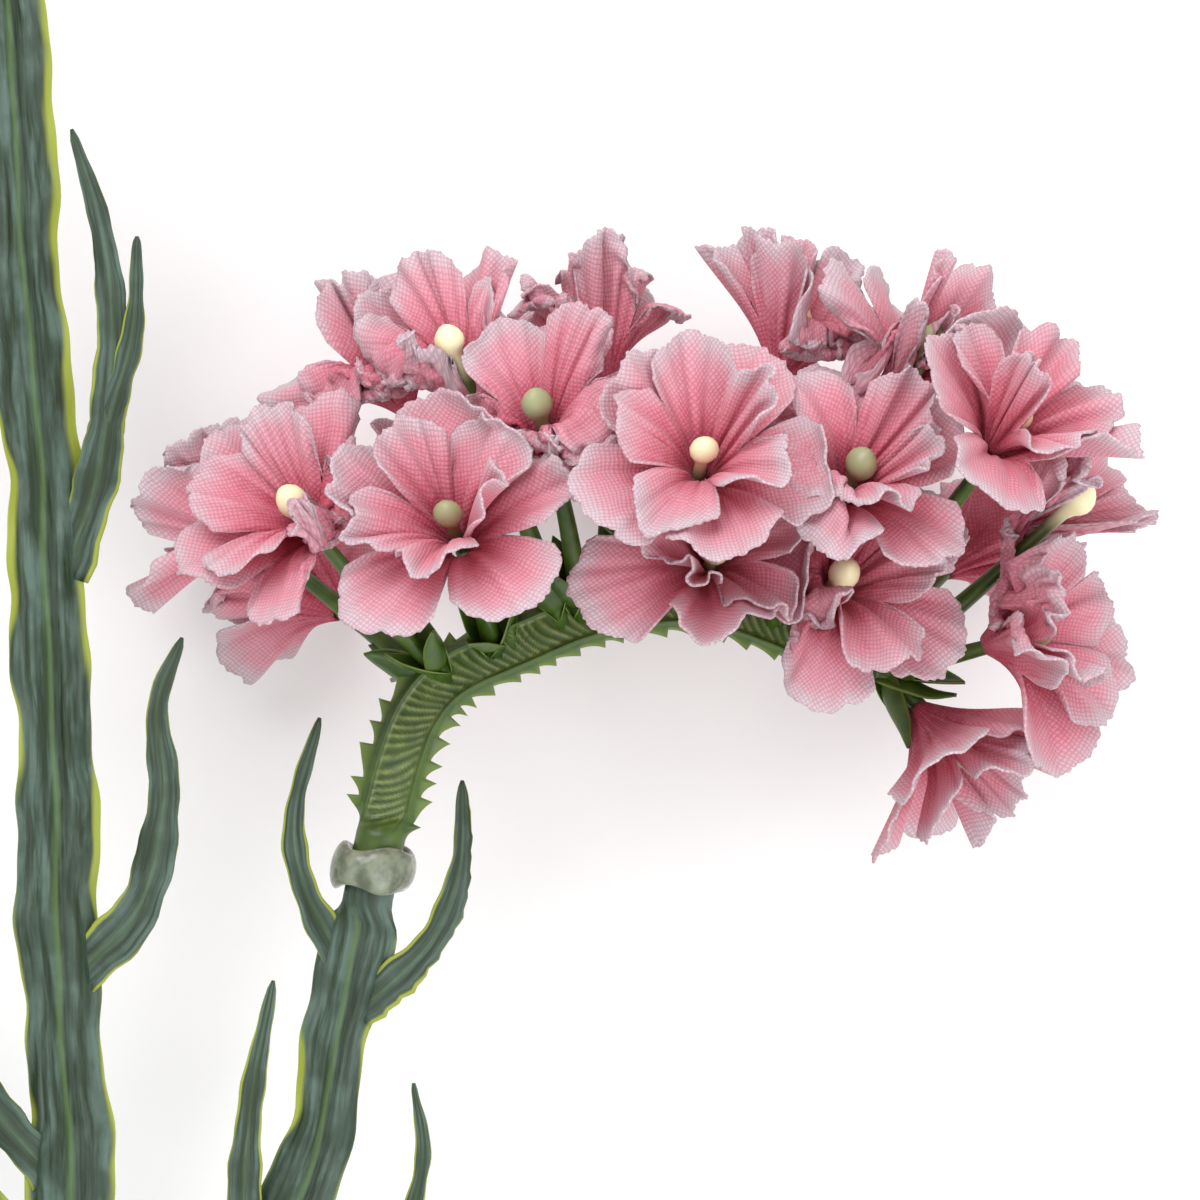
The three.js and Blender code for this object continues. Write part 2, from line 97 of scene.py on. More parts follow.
COMB_ROUTE = [
    (0, 0), (0.9, 4.2), (2.1, 8.8), (3.6, 12.4), (6.3, 15.3), (11.7, 17.8),
    (18.1, 20.2), (26.1, 21.0), (34.1, 18.4), (40.5, 15.6),
]
# A floret: [how far along the spine, lean towards the tip, tilt up from the surface, spine to bead].
FULL_SET = [
    (0.29, -7, -14, 23), (0.31, -4, 34, 22.5), (0.39, 5, 52, 19), (0.42, -2, 8, 26),
    (0.53, 6, 36, 21.5), (0.61, 1, -8, 23), (0.69, 4, 56, 21.5), (0.71, 6, 68, 12),
    (0.73, 5, 2, 24), (0.87, 12, 60, 12), (0.82, 7, 42, 19.5), (0.82, 8, 14, 27),
    (1, 25, 12, 21.5), (1, 52, 26, 14.5), (0.99, 112, 6, 9.5), (0.5, 0, 20, 26), (0.92, 14, 30, 27),
    (0.3, -16, -38, 18), (0.44, -4, -44, 19), (0.6, 2, -44, 20), (0.78, 8, -44, 20), (0.95, 24, -36, 18),
]
SMALL_SET = [
    (0.26, -24, 6, 14), (0.36, -4, -40, 16), (0.38, 0, 38, 17), (0.46, 4, 0, 21), (0.6, 4, -46, 17.5),
    (0.6, 6, 46, 17.5), (0.68, 4, 2, 22), (0.8, 8, 44, 16.5), (0.82, 10, -44, 17), (0.9, 18, 0, 20),
    (1.0, 62, 0, 14),
]

# ---------------------------------------------------------------- looks, in mm

THREAD = 0.37  # pitch of the petal fabric's plain weave
FABRIC = 0.2  # thickness of one layer of fabric
CUT_SIZE = 32.0  # side of the square that a corolla is die-cut from
SHINE_THROUGH = 0.3  # share of the light that goes through the fabric
TOOTH_PITCH = 1.95  # saw teeth on a comb's edges
TOOTH_DEPTH = 1.15
RIB_PITCH = 0.8  # slanted moulded ribs on a comb's face

UP = np.array([0.0, 0.0, 1.0])


def unit(v):
    """Unit vectors along the last axis."""
    return v / np.maximum(np.linalg.norm(v, axis=-1, keepdims=True), 1e-9)


def smooth(x, low, high):
    """0 below low, 1 above high, and a smooth ramp between them."""
    t = np.clip((np.asarray(x, float) - low) / (high - low), 0, 1)
    return t * t * (3 - 2 * t)


class Route:
    """A smooth curve through points, measured by its length, as in the CAD model."""

    def __init__(self, points):
        pts = np.array([(*p, 0.0)[:3] for p in points], float)
        self.points = np.vstack([2 * pts[0] - pts[1], pts, 2 * pts[-1] - pts[-2]])
        self.last = len(pts) - 1
        self.ts = np.linspace(0, self.last, 401)
        steps = np.linalg.norm(np.diff(self._point(self.ts), axis=0), axis=1)
        self.lengths = np.concatenate([[0], np.cumsum(steps)])
        self.length = self.lengths[-1]

    def _point(self, t):
        t = np.clip(np.atleast_1d(t), 0, self.last)
        i = np.minimum(t.astype(int), self.last - 1)
        w = (t - i)[:, None]
        a, b, c, d = (self.points[i + k] for k in range(4))
        leave, arrive = (c - a) / 2, (d - b) / 2
        square, cube = 3 * (c - b) - 2 * leave - arrive, 2 * (b - c) + leave + arrive
        return b + leave * w + square * w**2 + cube * w**3

    def at(self, share):
        """Points, tangents, sides and fronts at shares of the length."""
        t = np.interp(np.atleast_1d(share) * self.length, self.lengths, self.ts)
        point = self._point(t)
        tangent = unit(self._point(t + 1e-3) - self._point(t - 1e-3))
        side = unit(np.cross(tangent, UP))
        return point, tangent, side, np.cross(side, tangent)


main_route = Route([(x, y, (share - 1) * AXIS_HEIGHT) for x, y, share in MAIN_ROUTE])
main_line = main_route.at(np.linspace(0, 1, 301))[0]


def beside_main(point):
    """A point that stands its rise above the main stem's axis beside it."""
    x, y, rise = (*point, 0.0)[:3]
    return x, y, float(np.interp(y, main_line[:, 1], main_line[:, 2])) + rise


right_route = Route([beside_main(p) for p in RIGHT_ROUTE])
left_route = Route([beside_main(p) for p in LEFT_ROUTE])

# The frame's origin, from the glue collar on the right-hand branch.
low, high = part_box("right_glue_collar")
end, along, _, _ = right_route.at(1.0)
SHIFT = np.array((low + high) / 2) * 1000 - (end[0] + along[0] * GAP / 2)


# ---------------------------------------------------------------- meshes


class Skin:
    """Rings of points collected into one mesh, with a number or two for each point."""

    def __init__(self):
        self.points, self.faces, self.values, self.count = [], [], {}, 0

    def add(self, rings, caps=True, **values):
        """rings is (rings, points of a ring, 3)."""
        n, k = rings.shape[:2]
        i = np.arange(n - 1)[:, None] * k
        j = np.arange(k)[None, :]
        nxt = (j + 1) % k
        quads = np.stack([i + j, i + nxt, i + k + nxt, i + k + j], axis=-1).reshape(-1, 4) + self.count
        self.faces += quads.tolist()
        self.points.append(rings.reshape(-1, 3))
        sent = {name: np.broadcast_to(value, (n, k)).reshape(-1) for name, value in values.items()}
        self.count += n * k
        if caps:
            start = self.count - n * k
            for row, flip in ((0, True), (n - 1, False)):
                ring = [start + row * k + p for p in range(k)]
                turn = ring[::-1] if flip else ring
                self.faces += [[turn[p], turn[(p + 1) % k], self.count] for p in range(k)]
                self.points.append(rings[row].mean(axis=0)[None])
                for name, value in sent.items():
                    middle = value.reshape(-1)[row * k : row * k + k].mean()
                    sent[name] = np.append(value, middle)
                self.count += 1
        for name, value in sent.items():
            self.values.setdefault(name, []).append(value)

    def build(self, name, material, replaces=()):
        """The piece, in the frame's metres, riding on the root body."""
        points = (np.concatenate(self.points) + SHIFT) * 0.001
        mesh = bpy.data.meshes.new(name)
        mesh.from_pydata(points.tolist(), [], self.faces)
        for key, parts in self.values.items():
            attribute = mesh.attributes.new(key, "FLOAT", "POINT")
            attribute.data.foreach_set("value", np.concatenate(parts).astype(np.float32))
        mesh.polygons.foreach_set("use_smooth", [True] * len(mesh.polygons))
        mesh.materials.append(material)
        piece = bpy.data.objects.new(name, mesh)
        bpy.context.scene.collection.objects.link(piece)
        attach(piece, "root")
        if replaces:
            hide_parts(*replaces)
        return piece


# ---------------------------------------------------------------- materials


class Nodes:
    """A material's node tree, with short calls for the nodes that these materials use."""

    def __init__(self, name):
        self.material = bpy.data.materials.new(name)
        self.material.use_nodes = True
        self.tree = self.material.node_tree
        self.shader = self.tree.nodes["Principled BSDF"]
        self.output = self.tree.nodes["Material Output"]

    def put(self, socket, value):
        if isinstance(value, bpy.types.NodeSocket):
            self.tree.links.new(value, socket)
        else:
            socket.default_value = value

    def set(self, **values):
        for name, value in values.items():
            self.put(self.shader.inputs[name.replace("_", " ")], value)

    def math(self, operation, a, b=0.0, clamp=False):
        node = self.tree.nodes.new("ShaderNodeMath")
        node.operation, node.use_clamp = operation, clamp
        self.put(node.inputs[0], a)
        self.put(node.inputs[1], b)
        return node.outputs[0]

    def value(self, name):
        node = self.tree.nodes.new("ShaderNodeAttribute")
        node.attribute_name = name
        return node.outputs["Fac"]

    def vector(self, x, y, z=0.0):
        node = self.tree.nodes.new("ShaderNodeCombineXYZ")
        for socket, value in zip(node.inputs, (x, y, z)):
            self.put(socket, value)
        return node.outputs[0]

    def object_space(self):
        return self.tree.nodes.new("ShaderNodeTexCoord").outputs["Object"]

    def noise(self, vector, scale, detail=3.0, rough=0.5):
        node = self.tree.nodes.new("ShaderNodeTexNoise")
        self.put(node.inputs["Vector"], vector)
        self.put(node.inputs["Scale"], scale)
        self.put(node.inputs["Detail"], detail)
        self.put(node.inputs["Roughness"], rough)
        return node.outputs["Fac"]

    def range(self, value, low, high, to_low=0.0, to_high=1.0):
        node = self.tree.nodes.new("ShaderNodeMapRange")
        node.interpolation_type = "SMOOTHSTEP"
        for socket, number in zip(node.inputs, (value, low, high, to_low, to_high)):
            self.put(socket, number)
        return node.outputs[0]

    def mix(self, share, a, b, blend="MIX"):
        node = self.tree.nodes.new("ShaderNodeMix")
        node.data_type, node.blend_type = "RGBA", blend
        self.put(node.inputs["Factor"], share)
        self.put(node.inputs["A"], a)
        self.put(node.inputs["B"], b)
        return node.outputs["Result"]

    def ramp(self, value, *stops):
        node = self.tree.nodes.new("ShaderNodeValToRGB")
        self.put(node.inputs["Fac"], value)
        elements = node.color_ramp.elements
        while len(elements) < len(stops):
            elements.new(0.5)
        for element, (place, color) in zip(elements, stops):
            element.position, element.color = place, color
        return node.outputs["Color"]

    def bump(self, height, distance, strength=1.0, below=None):
        node = self.tree.nodes.new("ShaderNodeBump")
        self.put(node.inputs["Height"], height)
        self.put(node.inputs["Distance"], distance)
        self.put(node.inputs["Strength"], strength)
        if below is not None:
            self.put(node.inputs["Normal"], below)
        return node.outputs["Normal"]


def rgb(r, g, b):
    """A colour from its sRGB bytes."""
    return (*[(c / 255 / 12.92) if c <= 10 else ((c / 255 + 0.055) / 1.055) ** 2.4 for c in (r, g, b)], 1.0)


def stem_plastic(name, body, bloom, rim, rib, bloom_share):
    """Soft moulded plastic: painted shade in the grooves, a brushed pale bloom, a painted highlight along the
    rib and thin yellow-green rims.
    """
    n = Nodes(name)
    across, lay = n.value("across"), n.value("along")
    flow = n.vector(n.math("MULTIPLY", across, 3.2), n.math("MULTIPLY", lay, 0.1))
    streaks = n.noise(flow, 1.0, 4.0, 0.6)
    mottle = n.noise(n.object_space(), 260.0, 4.0)
    brushed = n.math("MULTIPLY", n.range(streaks, 0.36, 0.62), n.range(mottle, 0.34, 0.62, 0.4, 1.0))
    color = n.mix(n.math("MULTIPLY", brushed, bloom_share), body, bloom)
    # Painted highlight along the raised rib, then painted shade in the grooves.
    color = n.mix(n.math("MULTIPLY", n.value("raised"), 0.75), color, rib)
    color = n.mix(n.math("MULTIPLY", n.value("sunk"), 0.85), color, rgb(14, 32, 6))
    band = n.noise(n.vector(n.math("MULTIPLY", across, 0.8), n.math("MULTIPLY", lay, 0.07)), 1.0, 2.0)
    reach = n.math("ADD", n.value("edge"), n.range(band, 0.35, 0.65, -0.12, 0.16))
    color = n.mix(n.range(reach, 0.82, 1.0), color, rim)
    fine = n.noise(n.vector(n.math("MULTIPLY", across, 14.0), n.math("MULTIPLY", lay, 0.5)), 1.0, 4.0, 0.6)
    n.set(
        Base_Color=color,
        Roughness=n.range(streaks, 0.3, 0.7, 0.42, 0.62),
        Normal=n.bump(fine, 0.00012, 0.55),
        Subsurface_Weight=0.12,
        Subsurface_Radius=(0.3, 1.0, 0.2),
        Subsurface_Scale=0.0008,
    )
    return n.material


def comb_plastic():
    """Olive plastic with a painted highlight on its hatching ribs and painted shade between them, yellower
    pegs and cream-painted beads.
    """
    n = Nodes("comb_plastic")
    mottle = n.noise(n.object_space(), 500.0, 4.0)
    color = n.mix(n.range(mottle, 0.3, 0.7), rgb(42, 70, 10), rgb(72, 98, 26))
    # Patchy strength of the painted highlight on the raised hatching.
    highlight_patches = n.range(n.noise(n.object_space(), 900.0, 3.0), 0.35, 0.6, 0.25, 0.75)
    color = n.mix(n.math("MULTIPLY", n.value("raised"), highlight_patches), color, rgb(142, 156, 92))
    # Painted shade between the ribs and along the rails.
    color = n.mix(n.math("MULTIPLY", n.value("sunk"), 0.6), color, rgb(42, 64, 6))
    color = n.mix(n.range(n.value("edge"), 0.86, 1.0), color, rgb(104, 124, 50))
    color = n.mix(n.value("cream"), color, rgb(236, 228, 186))
    n.set(
        Base_Color=color,
        Roughness=n.range(mottle, 0.3, 0.7, 0.34, 0.5),
        Normal=n.bump(mottle, 0.00008, 0.4),
        Subsurface_Weight=0.15,
        Subsurface_Radius=(0.5, 1.0, 0.2),
        Subsurface_Scale=0.0008,
    )
    return n.material


def petal_fabric():
    """Starched plain-weave polyester, dyed deep pink at the throat and pale at the cut rim."""
    n = Nodes("petal_fabric")
    cloth = n.tree.nodes.new("ShaderNodeUVMap")
    cloth.uv_map = "Cloth"
    skew = n.noise(cloth.outputs[0], 9.0, 2.0)
    split = n.tree.nodes.new("ShaderNodeSeparateXYZ")
    n.put(split.inputs[0], cloth.outputs[0])
    turns = math.pi * CUT_SIZE / THREAD
    drift = n.math("MULTIPLY", skew, 9.0)
    warp = n.math("SINE", n.math("ADD", n.math("MULTIPLY", split.outputs[0], turns), drift))
    weft = n.math("SINE", n.math("ADD", n.math("MULTIPLY", split.outputs[1], turns), drift))
    over = n.math("GREATER_THAN", n.math("MULTIPLY", warp, weft), 0.0)
    across, down = n.math("ABSOLUTE", warp), n.math("ABSOLUTE", weft)
    dot_a = n.math("MULTIPLY", n.math("POWER", across, 0.5), n.math("POWER", down, 1.3))
    dot_b = n.math("MULTIPLY", n.math("POWER", across, 1.3), n.math("POWER", down, 0.5))
    pick = n.math("MULTIPLY", over, n.math("SUBTRACT", dot_a, dot_b))
    thread = n.math("ADD", dot_b, pick)
    blotch = n.noise(cloth.outputs[0], 16.0, 4.0, 0.6)
    dye = n.math("ADD", n.value("dye"), n.math("MULTIPLY", n.math("SUBTRACT", blotch, 0.5), 0.5), clamp=True)
    base = n.ramp(
        dye,
        (0.0, rgb(210, 88, 112)),
        (0.22, rgb(230, 132, 152)),
        (0.5, rgb(236, 164, 180)),
        (0.75, rgb(230, 180, 192)),
        (1.0, rgb(224, 202, 210)),
    )
    shade = n.range(thread, 0.05, 0.9, 0.8, 1.06)
    grey = n.vector(shade, shade, shade)
    color = n.mix(1.0, base, grey, "MULTIPLY")
    n.set(
        Base_Color=color,
        Roughness=0.72,
        Specular_IOR_Level=0.3,
        Sheen_Weight=0.25,
        Sheen_Roughness=0.4,
        Normal=n.bump(thread, 0.00006, 0.7),
    )
    glow = n.tree.nodes.new("ShaderNodeBsdfTranslucent")
    n.put(glow.inputs["Color"], color)
    both = n.tree.nodes.new("ShaderNodeMixShader")
    both.inputs["Fac"].default_value = SHINE_THROUGH
    n.tree.links.new(n.shader.outputs[0], both.inputs[1])
    n.tree.links.new(glow.outputs[0], both.inputs[2])
    n.tree.links.new(both.outputs[0], n.output.inputs["Surface"])
    return n.material


def hot_glue():
    """Milky hot-melt glue with a glossy skin."""
    n = Nodes("hot_glue")
    cloud = n.noise(n.object_space(), 700.0, 4.0)
    n.set(
        Base_Color=n.mix(n.range(cloud, 0.3, 0.7), rgb(112, 122, 100), rgb(174, 182, 160)),
        Roughness=n.range(cloud, 0.3, 0.7, 0.1, 0.22),
        Normal=n.bump(cloud, 0.0001, 0.3),
        Subsurface_Weight=0.5,
        Subsurface_Radius=(1.0, 1.0, 0.8),
        Subsurface_Scale=0.0015,
        Transmission_Weight=0.45,
        IOR=1.48,
    )
    return n.material


def drawn_wire():
    """Drawn steel with a little tarnish."""
    n = Nodes("drawn_wire")
    tarnish = n.noise(n.object_space(), 300.0, 5.0)
    n.set(
        Base_Color=n.mix(n.range(tarnish, 0.4, 0.7), rgb(150, 152, 156), rgb(104, 92, 80)),
        Metallic=1.0,
        Roughness=n.range(tarnish, 0.3, 0.7, 0.3, 0.5),
        Normal=n.bump(tarnish, 0.00003, 0.4),
    )
    return n.material


STEM = stem_plastic(
    "stem_plastic",
    body=rgb(22, 44, 18),
    bloom=rgb(88, 110, 100),
    rim=rgb(142, 152, 48),
    # The rib colour is the painted highlight along the raised rib.
    rib=rgb(74, 102, 42),
    bloom_share=0.9,
)
COMB = comb_plastic()
PETAL = petal_fabric()
GLUE = hot_glue()
WIRE = drawn_wire()

# ---------------------------------------------------------------- stems

RING_STEP = 0.7  # between the rings of a stem's skin
PRONG_THICKNESS = 0.5


def wander(d, seed, *waves):
    """A smooth irregular wave along distances d: each wave is (length, height)."""
    rng = np.random.RandomState(seed)
    return sum(h * np.sin(2 * math.pi * d / w + rng.uniform(0, 6.3)) for w, h in waves)


FRONT = np.sin(np.linspace(math.pi / 2, -math.pi / 2, 37))
BACK = np.sin(np.linspace(-math.pi / 2, math.pi / 2, 19))[1:-1]


def winged_rings(route, form, start, stop, round_tip, tip_scale, seed):
    """Rings of a winged stem, and how far along and across each point is."""
    span = stop - start
    d = np.linspace(0, span, int(span / RING_STEP) + 1)
    point, _, side, front = route.at((start + d) / route.length)
    s = np.concatenate([FRONT, BACK])[None, :]
    size = np.abs(s)
    d2 = d[:, None]
    core, wing = form["core"], form["wing"]
    wave = form["wave"]
    wave_right = wander(d, seed, (5.3, wave * 0.25), (12.7, wave * 0.7), (29, wave))
    wave_left = wander(d, seed + 1, (4.7, wave * 0.25), (10.3, wave * 0.7), (23, wave))
    scale = np.interp(d, [0, span], [1, tip_scale])
    half_right = (form["half"] + wave_right) * scale
    half_left = (form["half"] + wave_left) * scale
    x = np.where(s > 0, half_right[:, None], half_left[:, None]) * s
    dome = np.sqrt(np.clip(1 - (size / 0.72) ** 2, 0, 1)) ** 0.9
    thin = wing * (0.5 - 0.32 * smooth(size, 0.75, 1.0))
    drift = wander(d, seed + 2, (31, 0.05), (13, 0.03))[:, None]
    rib = np.exp(-(((s - drift) / 0.075) ** 2))
    patchy = smooth(wander(d, seed + 6, (13, 0.5), (31, 0.6)), -0.5, 0.3)[:, None]
    second_groove = patchy * 0.7 * np.exp(-(((s - drift + 0.32) / 0.06) ** 2))
    groove = np.exp(-(((s - drift - 0.2) / 0.075) ** 2)) + second_groove
    fluting = 0.07 * np.sin(s * 19 + wander(d, seed + 3, (37, 0.8))[:, None]) * (1 - size)
    top = thin + core * (0.86 * dome + 0.26 * rib - 0.17 * groove + fluting)
    bottom = -(thin + core * 0.9 * dome)
    z = np.concatenate([top[:, : len(FRONT)], np.broadcast_to(bottom, x.shape)[:, len(FRONT) :]], axis=1)
    curl = wander(d, seed + 4, (8.1, 0.22), (17, 0.3))[:, None]
    z = z + smooth(size, 0.6, 1.0) * curl
    roundness = (1 - smooth(span - d, NECK_LENGTH, NECK_TAPER))[:, None] if round_tip else 0 * d2
    angle = 2 * math.pi * (np.arange(x.shape[1]) + 0.5) / x.shape[1]
    x = x * (1 - roundness) + NECK_RADIUS * np.cos(angle) * roundness
    z = z * (1 - roundness) + NECK_RADIUS * np.sin(angle) * roundness
    rings = point[:, None] + x[..., None] * side[:, None] + z[..., None] * front[:, None]
    is_front = (np.arange(x.shape[1]) < len(FRONT))[None, :]
    # The rib's mask also gives a painted highlight along it, and the grooves' mask gives painted shade in
    # them.
    values = {
        "across": s + 3.0 * ~is_front,
        "along": d2 + start,
        "edge": size * (1 - roundness),
        "raised": rib * is_front * (1 - roundness),
        "sunk": np.clip(groove, 0, 1) * is_front * (1 - roundness),
    }
    return rings, {k: np.broadcast_to(v, x.shape) for k, v in values.items()}


def add_prong(skin, points, half, seed, serrate=0.0):
    """A flattened, tapering horn, highest along its midline, where a highlight is painted."""
    route = Route(points)
    u = np.linspace(0, 1, 44)
    point, _, side, front = route.at(u)
    taper = (np.sqrt(1 - u) * (1 - 0.2 * u))[:, None]
    d = u * route.length
    angle = np.linspace(0, 2 * math.pi, 25)[:-1]
    c, s = np.cos(angle)[None], np.sin(angle)[None]
    ripple = wander(d, seed, (3.1, 0.09), (7.3, 0.16))[:, None] * taper
    saw = serrate * ((d[:, None] / 1.6) % 1.0) * (c > 0.7) * taper
    across = (0.14 + half * taper) * (1 + 0 * c) + ripple + saw
    deep = 0.12 + PRONG_THICKNESS * taper * (0.55 + 0.45 * (1 - np.abs(c)) ** 0.6)
    lift = 0.22 * half * taper * (np.abs(c) ** 2)  # both edges curl up a little, as a leaf's do
    x = across * np.sign(c) * np.abs(c) ** 0.8
    z = deep * np.sign(s) * np.abs(s) ** 0.7 + lift
    rings = point[:, None] + x[..., None] * side[:, None] + z[..., None] * front[:, None]
    # The midline gets a painted highlight, and two lines beside it get painted shade, as of grooves that are
    # not modelled.
    mid = np.exp(-((c / 0.12) ** 2)) * (s > 0)
    skin.add(
        rings,
        across=c * 0.9 + 0 * u[:, None],
        along=d[:, None] + seed * 7.0 + 0 * c,
        edge=np.abs(c) + 0 * u[:, None],
        raised=0.35 * mid + 0 * u[:, None],
        sunk=0.8 * np.exp(-(((np.abs(c) - 0.3) / 0.15) ** 2)) * (s > 0) + 0 * u[:, None],
    )


def build_stem(name, route, form, prongs, start, tip_scale, seed, stubs=()):
    """A stem with its prongs, and the stubs of the branches that leave it."""
    skin = Skin()
    rings, values = winged_rings(route, form, start, route.length, True, tip_scale, seed)
    skin.add(rings, **values)
    for k, stub in enumerate(stubs):
        rings, values = winged_rings(stub, BRANCH_FORM, 0, FORK_LENGTH, False, 1.0, seed + 20 + 9 * k)
        skin.add(rings, **values)
    for k, (points, half) in enumerate(prongs):
        serrate = 0.35 if name == "right_branch" and k == 1 else 0.0
        add_prong(skin, [beside_main(p) for p in points], half, seed + 40 + k, serrate=serrate)
    skin.build(f"{name}_moulding", STEM, [name])


build_stem("main_stem", main_route, MAIN_FORM, MAIN_PRONGS, 0, 0.72, 11, (right_route, left_route))
build_stem("right_branch", right_route, BRANCH_FORM, RIGHT_PRONGS, FORK_LENGTH + GAP, 0.9, 53)
build_stem("left_branch", left_route, BRANCH_FORM, LEFT_PRONGS, FORK_LENGTH + GAP, 0.9, 71)
for wire_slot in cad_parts["stem_wire"].material_slots:
    wire_slot.material = WIRE

# ---------------------------------------------------------------- combs

BRACTS = 3  # small leaves round each peg's foot
BRACT_LENGTH = 5.0


def spine_of(stem, side):
    """A comb's spine, which carries straight on from the stem it plugs into."""
    end, tangent, _, _ = stem.at(1.0)
    start = end[0] + tangent[0] * GAP
    x, y = COMB_ROUTE[1]
    spin = math.atan2(tangent[0][1], tangent[0][0]) - math.atan2(y, x * side)
    c, s = math.cos(spin), math.sin(spin)
    return Route([
        (start[0] + a * side * c - b * s, start[1] + a * side * s + b * c, start[2]) for a, b in COMB_ROUTE
    ])


def pegs_of(spine, side, florets):
    """Foot, bead, axis and throat of each peg."""
    pegs = []
    for station, lean, tilt, reach in florets:
        point, tangent, across, _ = (v[0] for v in spine.at(station))
        lean, tilt = math.radians(lean), math.radians(tilt)
        in_plane = -side * across * math.cos(lean) + tangent * math.sin(lean)
        axis = unit(in_plane * math.cos(tilt) + UP * math.sin(tilt))
        bead = point + axis * reach
        pegs.append({"foot": point, "bead": bead, "axis": axis, "throat": bead - axis * FLORET_THROAT})
    return pegs


def turned(axis):
    """Two directions square to an axis and to each other."""
    first = unit(np.cross(axis, UP if abs(axis[2]) < 0.9 else np.array([0.0, 1.0, 0.0])))
    return first, np.cross(axis, first)


def add_comb_spine(skin, spine, seed):
    """The comb's moulded spine: slanted ribs between two rails, and saw-toothed edges outside them."""
    form = COMB_FORM
    span = spine.length
    d = np.linspace(0, span, int(span / 0.16) + 1)
    point, _, side, front = spine.at(d / span)
    s = np.concatenate([FRONT, BACK])[None, :]
    size = np.abs(s)
    saw_right = ((d / TOOTH_PITCH + 0.2 * np.sin(0.8 * d)) % 1.0) ** 1.8
    saw_left = ((d / TOOTH_PITCH + 0.4 + 0.2 * np.sin(1.1 * d)) % 1.0) ** 1.8
    depth = TOOTH_DEPTH * smooth(d, 1.5, 4.0) * (1 - 0.45 * smooth(d, 14, 22))
    scale = np.interp(d, [0, span], [1, 0.8])
    reach = np.where(s > 0, (depth * saw_right)[:, None], (depth * saw_left)[:, None])
    x = s * form["half"] * scale[:, None] + np.sign(s) * reach * smooth(size, 0.86, 1.0)
    body = np.sqrt(np.clip(1 - (size / 0.97) ** 2, 0, 1)) ** 0.6
    ridge = np.exp(-(((size - 0.74) / 0.13) ** 2))
    slant = d[:, None] / RIB_PITCH - 1.7 * s - 1.2 * s**2 + wander(d, seed, (9, 0.35), (4.3, 0.15))[:, None]
    ribs = 0.5 + 0.5 * np.sin(2 * math.pi * slant)
    hatch = smooth(ribs, 0.25, 0.95) * (1 - smooth(size, 0.5, 0.62))
    rail = np.exp(-(((size - 0.68) / 0.06) ** 2))
    top = 0.16 + form["core"] * (0.5 * body + 0.3 * ridge * body + 0.22 * rail) + 0.16 * hatch
    bottom = -(0.16 + form["core"] * 0.85 * body)
    z = np.concatenate([top[:, : len(FRONT)], np.broadcast_to(bottom, x.shape)[:, len(FRONT) :]], axis=1)
    roundness = (1 - smooth(d, NECK_LENGTH, NECK_TAPER))[:, None]
    angle = 2 * math.pi * (np.arange(x.shape[1]) + 0.5) / x.shape[1]
    x = x * (1 - roundness) + NECK_RADIUS * np.cos(angle) * roundness
    z = z * (1 - roundness) + NECK_RADIUS * np.sin(angle) * roundness
    rings = point[:, None] + x[..., None] * side[:, None] + z[..., None] * front[:, None]
    is_front = (np.arange(x.shape[1]) < len(FRONT))[None, :]
    fade = (1 - roundness) * is_front
    # The hatching and a line inside each rail carry a painted highlight; the hollows between the ribs and the
    # rails carry painted shade.
    skin.add(
        rings,
        edge=size * (1 - roundness),
        raised=np.clip(hatch * 0.85 + 0.45 * np.exp(-(((size - 0.57) / 0.05) ** 2)), 0, 1) * fade,
        sunk=np.clip(0.8 * (1 - hatch) * (1 - smooth(size, 0.5, 0.6)) + 0.3 * rail, 0, 1) * fade,
        cream=0.0,
    )


def add_peg(skin, peg, rng):
    """A peg that runs up to its bead, greener at the foot and cream at the tip."""
    first, second = turned(peg["axis"])
    reach = np.linalg.norm(peg["bead"] - peg["foot"])
    bead = BEAD_RADIUS * rng.uniform(0.95, 1.2)
    h = np.concatenate([
        np.linspace(0, reach - 1.6 * bead, 12)[:-1],
        reach + bead * np.array([-1.6, -1.15, -0.8, -0.45, -0.1, 0.3, 0.62, 0.86, 0.98]),
    ])
    r = np.concatenate([
        np.linspace(PEG_RADIUS * 1.5, PEG_RADIUS * 0.8, 12)[:-1],
        bead * np.array([0.45, 0.6, 0.85, 1.0, 1.02, 0.9, 0.66, 0.38, 0.1]),
    ])
    bend = np.sin(math.pi * np.clip(h / reach, 0, 1)) * rng.uniform(-0.5, 0.5)
    angle = np.linspace(0, 2 * math.pi, 15)[:-1]
    lumpy = 1 + 0.06 * np.sin(2 * angle + rng.uniform(0, 6))[None] * (h > reach - 1.4 * bead)[:, None]
    ring = (np.cos(angle)[:, None] * first + np.sin(angle)[:, None] * second)[None]
    centre = peg["foot"] + h[:, None] * peg["axis"] + bend[:, None] * first
    rings = centre[:, None] + (r[:, None] * lumpy)[..., None] * ring
    painted = smooth(h, reach - 4.5, reach - 1.0) * rng.choice([0.35, 1.0, 1.0, 1.0])
    skin.add(
        rings, edge=0.0, raised=0.0, sunk=0.0, cream=np.broadcast_to(painted[:, None], rings.shape[:2])
    )


